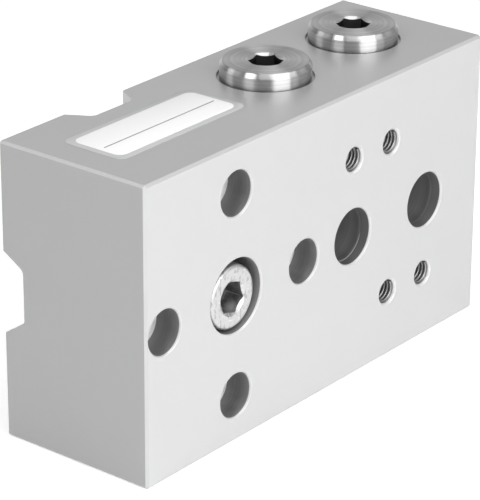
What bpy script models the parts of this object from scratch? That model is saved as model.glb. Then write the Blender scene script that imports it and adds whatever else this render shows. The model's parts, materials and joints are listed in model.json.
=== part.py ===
"""Valve mounting plate: a drilled aluminium block between a solenoid valve and an actuator.

Frame: metres, +Z up. The origin is the centre of the valve interface on the front face, +X runs
right along the front, +Y goes into the block and +Z up. The block stands on its bottom face.
"""
import math

import bmesh
import bpy
from mathutils import Vector

# Clearances between pieces
SEAT_GAP = 0.0003
LABEL_GAP = 0.0001

# Block
BLOCK_DEPTH = 0.035
BLOCK_HEIGHT = 0.060
CLAMP_TO_VALVE = 0.048
LEFT_MARGIN = 0.0257
RIGHT_MARGIN = 0.0303
EDGE_CHAMFER = 0.0005

# Valve interface on the front face
PORT_PITCH = 0.024
PORT_RADIUS = 0.00575
PORT_EDGE_BREAK = 0.00025
PORT_LAND_RADIUS = 0.0055
PORT_LAND_DEPTH = 0.002
FIXING_PITCH = 0.032
FIXING_THREAD_RADIUS = 0.0025
FIXING_EDGE_BREAK = 0.0004
FIXING_DEPTH = 0.010

# Clamp screw and its hole in the front face
SCREW_THREAD_RADIUS = 0.004
SCREW_HEAD_RADIUS = 0.0064
SCREW_HEAD_HEIGHT = 0.008
SCREW_HEAD_BEVEL = 0.00055
SCREW_LENGTH = 0.030
SCREW_TIP_CHAMFER = 0.0008
SCREW_SOCKET_FLATS = 0.006
SCREW_SOCKET_DEPTH = 0.0042
SCREW_SOCKET_LEAD_RADIUS = 0.0037
SCREW_SOCKET_TURN = math.radians(45.0)
SCREW_RECESS = 0.0009
SCREW_SAG = 0.0006
CLAMP_HOLE_CLEARANCE = 0.001
CLAMP_SINK_CLEARANCE = 0.0011
CLAMP_EDGE_BREAK = 0.0002

# Counterbored holes around the clamp screw
HOLE_RING_RADIUS = 0.0205
HOLE_SINK_RADIUS = 0.0045
HOLE_SINK_DEPTH = 0.0058
HOLE_RADIUS = 0.00275
HOLE_EDGE_BREAK = 0.00025

# Crossing seat grooves in the back face
GROOVE_DEPTH = 0.0053
GROOVE_FLOOR_WIDTH = 0.0109
GROOVE_FLANK = math.radians(30.5)
GROOVE_CORNER_RADIUS = 0.0008
GROOVE_CORNER_STEPS = 3
GROOVE_EDGE_BREAK = 0.0004

# Air channels, drilled from top to bottom and tapped at both ends
CHANNEL_PITCH = 0.0281
CHANNEL_SHIFT = -0.0019
CHANNEL_SETBACK = 0.0188
CHANNEL_RADIUS = 0.00425
CHANNEL_THREAD_RADIUS = 0.00658
CHANNEL_THREAD_DEPTH = 0.0145
CHANNEL_EDGE_BREAK = 0.0005
SPOTFACE_RADIUS = 0.0095
SPOTFACE_DEPTH = 0.0005

# Screw plugs
PLUG_COLLAR_RADIUS = 0.009
PLUG_COLLAR_HEIGHT = 0.0035
PLUG_CHAMFER_HEIGHT = 0.00095
PLUG_CHAMFER_WIDTH = 0.00062
PLUG_SHANK_LENGTH = 0.012
PLUG_TIP_CHAMFER = 0.001
PLUG_RELIEF_RADIUS = 0.0056
PLUG_RELIEF_LENGTH = 0.002
PLUG_SOCKET_FLATS = 0.006
PLUG_SOCKET_DEPTH = 0.005
PLUG_SOCKET_LEAD_RADIUS = 0.00375
PLUG_SOCKET_TURN = math.radians(9.5)

# Sealing rings in the collars' undersides
SEAL_RECESS_RADIUS = 0.008
SEAL_RECESS_DEPTH = 0.0014
SEAL_EDGE_CHAMFER = 0.00028

# Label on the top face
LABEL_FILM_LENGTH = 0.0362
LABEL_FILM_WIDTH = 0.0146
LABEL_BORDER = 0.0014
LABEL_LEFT_INSET = 0.0066
LABEL_FRONT_INSET = 0.0111
LABEL_THICKNESS = 0.0001
LABEL_CORNER_RADIUS = 0.002
LABEL_CORNER_STEPS = 4

# Drill points, countersinks and cutters
DRILL_POINT_SLOPE = math.tan(math.radians(31.0))
SOCKET_LEAD_SLOPE = math.tan(math.radians(30.0))
CUT_OVERRUN = 0.001
LARGE_ROUND = 56
ROUND = 40
SMALL_ROUND = 28
SMOOTH_ANGLE = math.radians(28.0)
POINT_TOLERANCE = 1e-7
PARALLEL_LIMIT = 0.5

# Places worked out from the sizes above
LEFT_END = -(CLAMP_TO_VALVE + LEFT_MARGIN)
TOP = BLOCK_HEIGHT / 2
CLAMP_X = -CLAMP_TO_VALVE
CHANNEL_LEFT_X = CHANNEL_SHIFT - CHANNEL_PITCH / 2
CHANNEL_RIGHT_X = CHANNEL_SHIFT + CHANNEL_PITCH / 2
SPOTFACE_FLOOR = TOP - SPOTFACE_DEPTH
PLUG_SEAT = SPOTFACE_FLOOR + SEAT_GAP
SCREW_FACE = SCREW_RECESS
SCREW_SEAT = SCREW_FACE + SCREW_HEAD_HEIGHT

# Directions in which a turned profile's +Z points once it is placed
FACING_UP = (0.0, 0.0, 0.0)
FACING_FRONT = (math.radians(90.0), 0.0, 0.0)


def finish(name, colour, metallic, roughness):
    """A plain Principled finish."""
    material = bpy.data.materials.new(name)
    material.use_nodes = True
    shader = material.node_tree.nodes["Principled BSDF"]
    shader.inputs["Base Color"].default_value = (*colour, 1.0)
    shader.inputs["Metallic"].default_value = metallic
    shader.inputs["Roughness"].default_value = roughness
    material.diffuse_color = (*colour, 1.0)
    return material


def add_object(name, bm, material=None):
    """Closes a bmesh into a named object with its faces pointing out."""
    bmesh.ops.remove_doubles(bm, verts=bm.verts, dist=POINT_TOLERANCE)
    bmesh.ops.recalc_face_normals(bm, faces=bm.faces)
    mesh = bpy.data.meshes.new(name)
    bm.to_mesh(mesh)
    bm.free()
    mesh.shade_smooth()
    mesh.set_sharp_from_angle(angle=SMOOTH_ANGLE)
    piece = bpy.data.objects.new(name, mesh)
    bpy.context.scene.collection.objects.link(piece)
    if material:
        mesh.materials.append(material)
    return piece


def turned(name, profile, steps, material=None, ring=False):
    """A turned body from (radius, height) points. A ring's profile closes on itself."""
    bm = bmesh.new()
    verts = [bm.verts.new((radius, 0.0, height)) for radius, height in profile]
    edges = [bm.edges.new(pair) for pair in zip(verts, verts[1:])]
    if ring:
        edges.append(bm.edges.new((verts[-1], verts[0])))
    bmesh.ops.spin(bm, geom=verts + edges, cent=(0, 0, 0), axis=(0, 0, 1), dvec=(0, 0, 0),
                   angle=math.tau, steps=steps, use_merge=True, use_duplicate=False)
    return add_object(name, bm, material)


def extruded(name, outline, run, floor_axis, corner_radius):
    """An outline of 3-D points swept along a vector, the two corners lowest on an axis rounded."""
    bm = bmesh.new()
    face = bm.faces.new([bm.verts.new(point) for point in outline])
    made = bmesh.ops.extrude_face_region(bm, geom=[face])["geom"]
    bmesh.ops.translate(bm, vec=run, verts=[item for item in made if isinstance(item, bmesh.types.BMVert)])
    floor = min(point[floor_axis] for point in outline)
    direction = Vector(run).normalized()
    deep = [edge for edge in bm.edges
            if all(abs(vert.co[floor_axis] - floor) < POINT_TOLERANCE for vert in edge.verts)
            and abs((edge.verts[1].co - edge.verts[0].co).normalized().dot(direction)) > PARALLEL_LIMIT]
    bmesh.ops.bevel(bm, geom=deep, offset=corner_radius, offset_type="OFFSET", affect="EDGES",
                    segments=GROOVE_CORNER_STEPS, profile=0.5, material=-1)
    return add_object(name, bm)


def hexagon(name, flats, depth, turn):
    """A hexagonal prism below z = 0, running a little above it."""
    bm = bmesh.new()
    corner = flats / 2 / math.cos(math.radians(30.0))
    outline = []
    for index in range(6):
        angle = turn + math.radians(60.0) * index
        outline.append(bm.verts.new((corner * math.cos(angle), corner * math.sin(angle), -depth)))
    face = bm.faces.new(outline)
    made = bmesh.ops.extrude_face_region(bm, geom=[face])["geom"]
    bmesh.ops.translate(bm, vec=(0.0, 0.0, depth + CUT_OVERRUN),
                        verts=[item for item in made if isinstance(item, bmesh.types.BMVert)])
    return add_object(name, bm)


def socket_cutters(name, flats, depth, turn, lead_radius, height, body):
    """A hexagon socket and its conical lead-in, cut down from a height on the body's axis."""
    lead_depth = lead_radius * SOCKET_LEAD_SLOPE
    lead_rim = lead_radius + CUT_OVERRUN / SOCKET_LEAD_SLOPE
    socket = hexagon(name + "_socket_cutter", flats, depth, turn)
    lead = turned(name + "_lead_cutter",
                  [(0.0, CUT_OVERRUN), (lead_rim, CUT_OVERRUN), (0.0, -lead_depth)], ROUND)
    return [place(tool, (0.0, 0.0, height), parent=body) for tool in (socket, lead)]


def place(piece, location, rotation=FACING_UP, parent=None):
    """Sets a piece's place, and its parent where it has one at the origin."""
    piece.location = Vector(location)
    piece.rotation_euler = rotation
    piece.parent = parent
    return piece


def cut(body, *tools):
    """Takes each tool away from a body and keeps the tool as a hidden guide."""
    for tool in tools:
        boolean = body.modifiers.new("cut_" + tool.name, "BOOLEAN")
        boolean.operation = "DIFFERENCE"
        boolean.solver = "EXACT"
        boolean.object = tool
        tool.hide_render = True
        tool.display_type = "WIRE"


def sunk_hole(name, radius, depth, edge_break, steps):
    """Cutter for a blind drilled hole with a broken edge and a drill point. Its mouth is at z = 0."""
    rim = radius + edge_break
    point = depth + radius * DRILL_POINT_SLOPE
    profile = [(0.0, CUT_OVERRUN), (rim + CUT_OVERRUN, CUT_OVERRUN), (radius, -edge_break),
               (radius, -depth), (0.0, -point)]
    return turned(name, profile, steps)


def stepped_hole(name, sink_radius, sink_depth, radius, edge_break, steps):
    """Cutter for a counterbore over a hole right through the block. Its mouth is at z = 0."""
    rim = sink_radius + edge_break
    through = -(BLOCK_DEPTH + CUT_OVERRUN)
    profile = [(0.0, CUT_OVERRUN), (rim + CUT_OVERRUN, CUT_OVERRUN), (sink_radius, -edge_break),
               (sink_radius, -sink_depth), (radius, -sink_depth), (radius, through), (0.0, through)]
    return turned(name, profile, steps)


def port_cutter(name, steps):
    """Cutter for a valve port: a short land at the mouth, then the bore to the channel's axis."""
    rim = PORT_RADIUS + PORT_EDGE_BREAK
    point = CHANNEL_SETBACK + PORT_LAND_RADIUS * DRILL_POINT_SLOPE
    land_end = PORT_LAND_DEPTH + PORT_RADIUS - PORT_LAND_RADIUS
    profile = [(0.0, CUT_OVERRUN), (rim + CUT_OVERRUN, CUT_OVERRUN), (PORT_RADIUS, -PORT_EDGE_BREAK),
               (PORT_RADIUS, -PORT_LAND_DEPTH), (PORT_LAND_RADIUS, -land_end),
               (PORT_LAND_RADIUS, -CHANNEL_SETBACK), (0.0, -point)]
    return turned(name, profile, steps)


def channel_cutter(name):
    """Cutter for an air channel, from top to bottom, tapped and spotfaced at both ends."""
    floor = SPOTFACE_FLOOR
    thread_end = floor - CHANNEL_THREAD_DEPTH
    step_end = thread_end - (CHANNEL_THREAD_RADIUS - CHANNEL_RADIUS) * DRILL_POINT_SLOPE
    half = [(SPOTFACE_RADIUS, TOP + CUT_OVERRUN), (SPOTFACE_RADIUS, floor),
            (CHANNEL_THREAD_RADIUS + CHANNEL_EDGE_BREAK, floor),
            (CHANNEL_THREAD_RADIUS, floor - CHANNEL_EDGE_BREAK),
            (CHANNEL_THREAD_RADIUS, thread_end), (CHANNEL_RADIUS, step_end)]
    other_half = [(radius, -height) for radius, height in reversed(half)]
    top_end = (0.0, TOP + CUT_OVERRUN)
    bottom_end = (0.0, -TOP - CUT_OVERRUN)
    return turned(name, [top_end, *half, *other_half, bottom_end], LARGE_ROUND)


def groove_outline():
    """The seat groove's section as (across, y) points, from its floor out past the back face."""
    floor_half = GROOVE_FLOOR_WIDTH / 2
    mouth_half = floor_half + GROOVE_DEPTH * math.tan(GROOVE_FLANK)
    flank_end = mouth_half - GROOVE_EDGE_BREAK * math.tan(GROOVE_FLANK)
    outer = mouth_half + GROOVE_EDGE_BREAK + CUT_OVERRUN
    floor = BLOCK_DEPTH - GROOVE_DEPTH
    break_start = BLOCK_DEPTH - GROOVE_EDGE_BREAK
    past = BLOCK_DEPTH + CUT_OVERRUN
    return [(-floor_half, floor), (floor_half, floor), (flank_end, break_start), (outer, past),
            (-outer, past), (-flank_end, break_start)]


def groove_cutters(body):
    """The two grooves, which cross on the clamp screw's axis in the back face."""
    start = LEFT_END - CUT_OVERRUN
    length = RIGHT_MARGIN - LEFT_END + 2 * CUT_OVERRUN
    bottom = -TOP - CUT_OVERRUN
    height = BLOCK_HEIGHT + 2 * CUT_OVERRUN
    upright = extruded("groove_cutter_upright",
                       [(CLAMP_X + across, y, bottom) for across, y in groove_outline()],
                       (0.0, 0.0, height), 1, GROOVE_CORNER_RADIUS)
    level = extruded("groove_cutter_level",
                     [(start, y, across) for across, y in groove_outline()],
                     (length, 0.0, 0.0), 1, GROOVE_CORNER_RADIUS)
    upright.parent = body
    level.parent = body
    return upright, level


def build_block(material):
    """The block with every hole, port, channel and groove cut."""
    length = RIGHT_MARGIN - LEFT_END
    bm = bmesh.new()
    bmesh.ops.create_cube(bm, size=1.0)
    bmesh.ops.scale(bm, vec=(length, BLOCK_DEPTH, BLOCK_HEIGHT), verts=bm.verts)
    bmesh.ops.translate(bm, vec=((RIGHT_MARGIN + LEFT_END) / 2, BLOCK_DEPTH / 2, 0.0), verts=bm.verts)
    bmesh.ops.bevel(bm, geom=bm.edges[:], offset=EDGE_CHAMFER, offset_type="OFFSET", affect="EDGES",
                    segments=1, profile=0.5, material=-1)
    block = add_object("mounting_block", bm, material)

    cut(block, *groove_cutters(block))
    for side, x in (("left", CHANNEL_LEFT_X), ("right", CHANNEL_RIGHT_X)):
        channel = place(channel_cutter("channel_cutter_" + side), (x, CHANNEL_SETBACK, 0.0), parent=block)
        cut(block, channel)
    for side, sign in (("left", -1), ("right", 1)):
        port = port_cutter("port_cutter_" + side, LARGE_ROUND)
        cut(block, place(port, (sign * PORT_PITCH / 2, 0.0, 0.0), FACING_FRONT, block))

    row = FIXING_PITCH / 2
    column = PORT_PITCH / 2
    for label, x, z in (("top_stud", -column, row), ("top", 0.0, row),
                        ("bottom", 0.0, -row), ("bottom_stud", column, -row)):
        fixing = sunk_hole("fixing_cutter_" + label, FIXING_THREAD_RADIUS, FIXING_DEPTH,
                           FIXING_EDGE_BREAK, SMALL_ROUND)
        cut(block, place(fixing, (x, 0.0, z), FACING_FRONT, block))

    for index in range(4):
        angle = math.radians(90.0) * index
        hole = stepped_hole(f"hole_cutter_{index + 1}", HOLE_SINK_RADIUS, HOLE_SINK_DEPTH,
                            HOLE_RADIUS, HOLE_EDGE_BREAK, ROUND)
        spot = (CLAMP_X + HOLE_RING_RADIUS * math.cos(angle), 0.0, HOLE_RING_RADIUS * math.sin(angle))
        cut(block, place(hole, spot, FACING_FRONT, block))

    clamp = stepped_hole("clamp_cutter", SCREW_HEAD_RADIUS + CLAMP_SINK_CLEARANCE, SCREW_SEAT + SEAT_GAP,
                         SCREW_THREAD_RADIUS + CLAMP_HOLE_CLEARANCE, CLAMP_EDGE_BREAK, LARGE_ROUND)
    cut(block, place(clamp, (CLAMP_X, 0.0, 0.0), FACING_FRONT, block))
    return block


def build_plug(side, x, material):
    """A screw plug. Its own z = 0 is the collar's underside."""
    shank = CHANNEL_THREAD_RADIUS - SEAT_GAP
    flat = PLUG_COLLAR_RADIUS - PLUG_CHAMFER_WIDTH
    shoulder = PLUG_COLLAR_HEIGHT - PLUG_CHAMFER_HEIGHT
    relief_end = -PLUG_RELIEF_LENGTH
    profile = [(0.0, PLUG_COLLAR_HEIGHT), (flat, PLUG_COLLAR_HEIGHT), (PLUG_COLLAR_RADIUS, shoulder),
               (PLUG_COLLAR_RADIUS, 0.0), (SEAL_RECESS_RADIUS, 0.0),
               (SEAL_RECESS_RADIUS, SEAL_RECESS_DEPTH), (PLUG_RELIEF_RADIUS, SEAL_RECESS_DEPTH),
               (PLUG_RELIEF_RADIUS, relief_end),
               (shank, relief_end - (shank - PLUG_RELIEF_RADIUS)),
               (shank, PLUG_TIP_CHAMFER - PLUG_SHANK_LENGTH),
               (shank - PLUG_TIP_CHAMFER, -PLUG_SHANK_LENGTH), (0.0, -PLUG_SHANK_LENGTH)]
    plug = turned("plug_" + side, profile, LARGE_ROUND, material)
    place(plug, (x, CHANNEL_SETBACK, PLUG_SEAT))
    cut(plug, *socket_cutters("plug_" + side, PLUG_SOCKET_FLATS, PLUG_SOCKET_DEPTH, PLUG_SOCKET_TURN,
                              PLUG_SOCKET_LEAD_RADIUS, PLUG_COLLAR_HEIGHT, plug))
    return plug


def build_seal(side, x, material):
    """A sealing ring, seated in the recess of a collar's underside, around the relief."""
    inner = PLUG_RELIEF_RADIUS + SEAT_GAP
    outer = SEAL_RECESS_RADIUS - SEAT_GAP
    top = SEAL_RECESS_DEPTH - SEAT_GAP
    edge = SEAL_EDGE_CHAMFER
    profile = [(inner, 0.0), (outer - edge, 0.0), (outer, edge), (outer, top - edge),
               (outer - edge, top), (inner, top)]
    ring = turned("seal_ring_" + side, profile, ROUND, material, ring=True)
    return place(ring, (x, CHANNEL_SETBACK, PLUG_SEAT))


def build_clamp_screw(material):
    """The socket head cap screw. Its own z = 0 is the head's face, its shank runs along -Z."""
    bevel = SCREW_HEAD_BEVEL
    seat = -SCREW_HEAD_HEIGHT
    tip = seat - SCREW_LENGTH
    profile = [(0.0, 0.0), (SCREW_HEAD_RADIUS - bevel, 0.0), (SCREW_HEAD_RADIUS, -bevel),
               (SCREW_HEAD_RADIUS, seat), (SCREW_THREAD_RADIUS, seat),
               (SCREW_THREAD_RADIUS, tip + SCREW_TIP_CHAMFER),
               (SCREW_THREAD_RADIUS - SCREW_TIP_CHAMFER, tip), (0.0, tip)]
    screw = turned("clamp_screw", profile, LARGE_ROUND, material)
    place(screw, (CLAMP_X, SCREW_FACE, -SCREW_SAG), FACING_FRONT)
    cut(screw, *socket_cutters("screw", SCREW_SOCKET_FLATS, SCREW_SOCKET_DEPTH, SCREW_SOCKET_TURN,
                               SCREW_SOCKET_LEAD_RADIUS, 0.0, screw))
    return screw


def rounded_sheet(name, length, width, material):
    """A thin sheet with rounded corners on z = 0, its front left corner at the origin."""
    bm = bmesh.new()
    corners = ((0.0, 0.0), (length, 0.0), (length, width), (0.0, width))
    face = bm.faces.new([bm.verts.new((x, y, 0.0)) for x, y in corners])
    made = bmesh.ops.extrude_face_region(bm, geom=[face])["geom"]
    bmesh.ops.translate(bm, vec=(0.0, 0.0, LABEL_THICKNESS),
                        verts=[item for item in made if isinstance(item, bmesh.types.BMVert)])
    upright = [edge for edge in bm.edges if abs(edge.verts[0].co.z - edge.verts[1].co.z) > LABEL_THICKNESS / 2]
    bmesh.ops.bevel(bm, geom=upright, offset=LABEL_CORNER_RADIUS, offset_type="OFFSET", affect="EDGES",
                    segments=LABEL_CORNER_STEPS, profile=0.5, material=-1)
    return add_object(name, bm, material)


def build_label(film_material, panel_material):
    """The label: a film on the top face, and the white panel on it with a border all round."""
    left = LEFT_END + LABEL_LEFT_INSET
    film = rounded_sheet("label_film", LABEL_FILM_LENGTH, LABEL_FILM_WIDTH, film_material)
    place(film, (left, LABEL_FRONT_INSET, TOP + LABEL_GAP))
    panel = rounded_sheet("label_panel", LABEL_FILM_LENGTH - 2 * LABEL_BORDER,
                          LABEL_FILM_WIDTH - 2 * LABEL_BORDER, panel_material)
    panel_height = TOP + LABEL_GAP + LABEL_THICKNESS + LABEL_GAP
    place(panel, (left + LABEL_BORDER, LABEL_FRONT_INSET + LABEL_BORDER, panel_height))
    return film, panel


def build():
    """Clears the scene and builds every piece."""
    for old in list(bpy.data.objects):
        bpy.data.objects.remove(old, do_unlink=True)
    aluminium = finish("satin_aluminium", (0.62, 0.62, 0.63), 0.85, 0.42)
    steel = finish("turned_steel", (0.55, 0.55, 0.55), 1.0, 0.28)
    screw_steel = finish("zinc_plated_steel", (0.78, 0.78, 0.78), 1.0, 0.3)
    rubber = finish("seal_rubber", (0.03, 0.03, 0.03), 0.0, 0.6)
    film = finish("label_film", (0.62, 0.62, 0.62), 0.0, 0.3)
    paper = finish("label_white", (0.92, 0.92, 0.92), 0.0, 0.45)

    build_block(aluminium)
    for side, x in (("left", CHANNEL_LEFT_X), ("right", CHANNEL_RIGHT_X)):
        build_plug(side, x, steel)
        build_seal(side, x, rubber)
    build_clamp_screw(screw_steel)
    build_label(film, paper)


build()
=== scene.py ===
"""Looks of a valve mounting plate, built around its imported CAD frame.

The block keeps its CAD shape. Plugs, clamp screw, threads and label are built here at the places
that the frame gives. Everything is in metres: +X along the front, +Y into the block, +Z up.
"""

from __future__ import annotations

import json
import logging
import math
from dataclasses import dataclass, field
from enum import Enum

import bmesh
import bpy
from bpy.types import ColorRamp, Material, Mesh, NodeSocket, NodeTree, Object
from mathutils import Matrix, Vector

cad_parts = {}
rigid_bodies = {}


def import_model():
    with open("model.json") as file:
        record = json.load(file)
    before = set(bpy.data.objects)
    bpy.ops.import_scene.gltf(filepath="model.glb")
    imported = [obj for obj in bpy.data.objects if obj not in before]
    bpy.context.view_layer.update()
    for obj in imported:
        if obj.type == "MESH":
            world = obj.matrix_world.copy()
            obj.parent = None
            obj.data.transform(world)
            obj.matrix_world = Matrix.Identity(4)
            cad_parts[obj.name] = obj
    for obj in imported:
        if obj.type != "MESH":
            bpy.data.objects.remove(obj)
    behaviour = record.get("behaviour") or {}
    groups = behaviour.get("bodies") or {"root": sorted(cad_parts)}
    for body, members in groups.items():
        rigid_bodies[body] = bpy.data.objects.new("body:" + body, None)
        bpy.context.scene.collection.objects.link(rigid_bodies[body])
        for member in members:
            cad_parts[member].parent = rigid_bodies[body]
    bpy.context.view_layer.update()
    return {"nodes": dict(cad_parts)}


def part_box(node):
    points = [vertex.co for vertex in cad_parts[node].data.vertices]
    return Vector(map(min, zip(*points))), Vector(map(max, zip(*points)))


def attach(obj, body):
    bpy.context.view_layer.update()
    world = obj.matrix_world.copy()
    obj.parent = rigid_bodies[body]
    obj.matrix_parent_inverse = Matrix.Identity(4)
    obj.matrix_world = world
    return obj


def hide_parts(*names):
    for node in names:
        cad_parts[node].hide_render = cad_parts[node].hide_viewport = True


Colour = Triple = tuple[float, float, float]
Profile = list[tuple[float, float]]

LOG = logging.getLogger("valve_mounting_plate")
MM = 0.001
BODY = "root"
FLOOR_GAP = 0.05 * MM
OVERCUT = 1.0 * MM
TINY = 1e-7
HEAD_STEPS = 128
THREAD_STEPS = 48
LEAD_SLOPE = math.tan(math.radians(30.0))
SHARP = math.radians(30.0)


def grey(level: float) -> Colour:
    """A neutral colour."""
    return (level, level, level)


def toned(colour: Colour, factor: float) -> Colour:
    """A colour made darker or lighter by a factor."""
    return tuple(channel * factor for channel in colour)


BLACK = grey(0.0)
WHITE = grey(1.0)


class Facing(Enum):
    """Direction in which the +Z end of a turned shape points, by its turn around X."""

    FRONT = math.pi / 2
    DOWN = math.pi

    def matrix(self) -> Matrix:
        """Rotation from the shape's own axis to this direction."""
        return Matrix.Rotation(self.value, 4, "X")


class Side(Enum):
    """Side of the plate on which a plug stands, seen from the front."""

    LEFT = "left"
    RIGHT = "right"


class Slot(Enum):
    """The record's material slots."""

    ALUMINIUM = "satin_aluminium"
    STEEL = "turned_steel"
    ZINC = "zinc_plated_steel"
    FILM = "label_film"
    PAPER = "label_white"


class Wire:
    """A shader socket that can be used in Python arithmetic on values."""

    def __init__(self, graph: NodeGraph, socket: NodeSocket) -> None:
        """Keeps an output socket with the graph that new Math nodes go to."""
        self.graph = graph
        self.socket = socket

    def _math(self, operation: str, *operands: object) -> Wire:
        """Adds one Math node, whose operands are wires or numbers."""
        inputs = dict(enumerate(operands))
        return self.graph.node("ShaderNodeMath", {"operation": operation}, inputs)

    def __add__(self, other: object) -> Wire:
        """Sum."""
        return self._math("ADD", self, other)

    def __radd__(self, other: object) -> Wire:
        """Reflected sum."""
        return self._math("ADD", other, self)

    def __sub__(self, other: object) -> Wire:
        """Difference."""
        return self._math("SUBTRACT", self, other)

    def __rsub__(self, other: object) -> Wire:
        """Reflected difference."""
        return self._math("SUBTRACT", other, self)

    def __mul__(self, other: object) -> Wire:
        """Product."""
        return self._math("MULTIPLY", self, other)

    def __rmul__(self, other: object) -> Wire:
        """Reflected product."""
        return self._math("MULTIPLY", other, self)

    def __pow__(self, other: object) -> Wire:
        """Power."""
        return self._math("POWER", self, other)

    def __rpow__(self, other: object) -> Wire:
        """Reflected power."""
        return self._math("POWER", other, self)

    def above(self, level: float) -> Wire:
        """1 where the value is over a level, else 0."""
        return self._math("GREATER_THAN", self, level)

    def below(self, level: float) -> Wire:
        """1 where the value is under a level, else 0."""
        return self._math("LESS_THAN", self, level)

    def at_least(self, other: Wire) -> Wire:
        """The larger of two values."""
        return self._math("MAXIMUM", self, other)

    def size(self) -> Wire:
        """The value without its sign."""
        return self._math("ABSOLUTE", self)

    def sine(self) -> Wire:
        """Sine of the value in radians."""
        return self._math("SINE", self)

    def ramp(self, low: float, high: float) -> Wire:
        """A smooth step from 0 at low to 1 at high."""
        return self.graph.node(
            "ShaderNodeMapRange",
            {"interpolation_type": "SMOOTHSTEP"},
            {"Value": self, "From Min": low, "From Max": high},
            output="Result",
        )

    def sibling(self, name: str) -> Wire:
        """Another output of the same node."""
        return Wire(self.graph, self.socket.node.outputs[name])


def from_axis(across: Wire, along: Wire) -> Wire:
    """Distance from the axis that both coordinates are counted from."""
    return (across * across + along * along) ** 0.5


class NodeGraph:
    """A node tree that is filled by Python expressions."""

    def __init__(self, tree: NodeTree) -> None:
        """Keeps the tree that new nodes go to."""
        self.tree = tree

    def node(
        self, kind: str, settings: dict[str, object] | None = None,
        inputs: dict[int | str, object] | None = None, output: int | str = 0,
    ) -> Wire:
        """Adds a node of any type.

        Args:
            kind: The node's type name.
            settings: Attributes set before the inputs. "stops" fills a ramp with greys.
            inputs: Values or wires by the input's number, identifier or name.
            output: Number, identifier or name of the output to return.

        Returns:
            The chosen output as a wire.
        """
        made = self.tree.nodes.new(kind)
        for key, value in (settings or {}).items():
            if key == "stops":
                self._fill_ramp(made.color_ramp, value)
            else:
                setattr(made, key, value)
        for key, value in (inputs or {}).items():
            self.feed(self._socket(made.inputs, key), value)
        return Wire(self, self._socket(made.outputs, output))

    def feed(self, socket: NodeSocket, value: object) -> None:
        """Links a wire to a socket, or sets its value.

        Args:
            socket: The input socket.
            value: A wire, a number, a vector or a colour without alpha.
        """
        if isinstance(value, Wire):
            self.tree.links.new(value.socket, socket)
        elif socket.type == "RGBA":
            socket.default_value = (*value, 1.0)
        else:
            socket.default_value = value

    def parts(self, vector: Wire) -> tuple[Wire, Wire, Wire]:
        """The three components of a vector wire."""
        first = self.node("ShaderNodeSeparateXYZ", inputs={"Vector": vector}, output="X")
        return first, first.sibling("Y"), first.sibling("Z")

    @staticmethod
    def _socket(sockets: bpy.types.bpy_prop_collection, key: int | str) -> NodeSocket:
        """Finds a socket. Identifiers go before names, which a Mix node repeats."""
        found = [socket for socket in sockets if socket.identifier == key]
        return found[0] if found else sockets[key]

    @staticmethod
    def _fill_ramp(ramp: ColorRamp, stops: tuple[tuple[float, float], ...]) -> None:
        """Fills a colour ramp with greys.

        Args:
            ramp: The ramp.
            stops: Position and level of each stop.
        """
        while len(ramp.elements) > 1:
            ramp.elements.remove(ramp.elements[-1])
        for index, (position, level) in enumerate(stops):
            element = ramp.elements[0] if index == 0 else ramp.elements.new(position)
            element.position = position
            element.color = (*grey(level), 1.0)


class ShaderGraph(NodeGraph):
    """The node tree of one material."""

    def __init__(self, name: str) -> None:
        """Starts a material with a Principled shader.

        Args:
            name: The material's name.
        """
        self.material = bpy.data.materials.new(name)
        self.material.use_nodes = True
        super().__init__(self.material.node_tree)
        self.surface = self.tree.nodes["Principled BSDF"]

    def set(self, **values: object) -> None:
        """Sets or links inputs of the Principled shader, with _ for a space in a name."""
        for key, value in values.items():
            self.feed(self.surface.inputs[key.replace("_", " ")], value)

    def place(self, centre: Vector | Triple = (0.0, 0.0, 0.0)) -> Wire:
        """Object coordinates, counted from a centre that becomes their origin."""
        start = self.node("ShaderNodeTexCoord", output="Object")
        return self.node(
            "ShaderNodeMapping",
            {"vector_type": "POINT"},
            {"Vector": start, "Location": tuple(-c for c in centre)},
            output="Vector",
        )

    def stretched(self, vector: Wire, scale: Triple) -> Wire:
        """A vector wire multiplied by a scale on each axis."""
        settings = {"operation": "MULTIPLY"}
        return self.node("ShaderNodeVectorMath", settings, {0: vector, 1: scale}, output="Vector")

    def noise(
        self, vector: Wire, scale: float = 1.0, detail: float = 2.0, roughness: float = 0.5
    ) -> Wire:
        """Noise from 0 to 1, with grains per metre, octaves and the finer octaves' weight."""
        return self.node(
            "ShaderNodeTexNoise",
            {"noise_dimensions": "3D"},
            {"Vector": vector, "Scale": scale, "Detail": detail, "Roughness": roughness},
        )

    def mix(self, factor: object, low: Colour | Wire, high: Colour | Wire) -> Wire:
        """A colour mixed by a factor, which is 0 for low and 1 for high."""
        return self.node(
            "ShaderNodeMix",
            {"data_type": "RGBA", "clamp_factor": True},
            {"Factor_Float": factor, "A_Color": low, "B_Color": high},
            output="Result_Color",
        )

    def shades(self, factor: Wire, colour: Colour, dark: float, light: float = 1.0) -> Wire:
        """A colour mixed between two tones of itself, each given as a factor on it."""
        return self.mix(factor, toned(colour, dark), toned(colour, light))

    def bump(self, height: Wire, strength: float, distance: float) -> Wire:
        """A bump normal from a height, on which 1 stands for a distance in metres."""
        return self.node(
            "ShaderNodeBump",
            inputs={"Height": height, "Strength": strength, "Distance": distance},
            output="Normal",
        )


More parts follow.
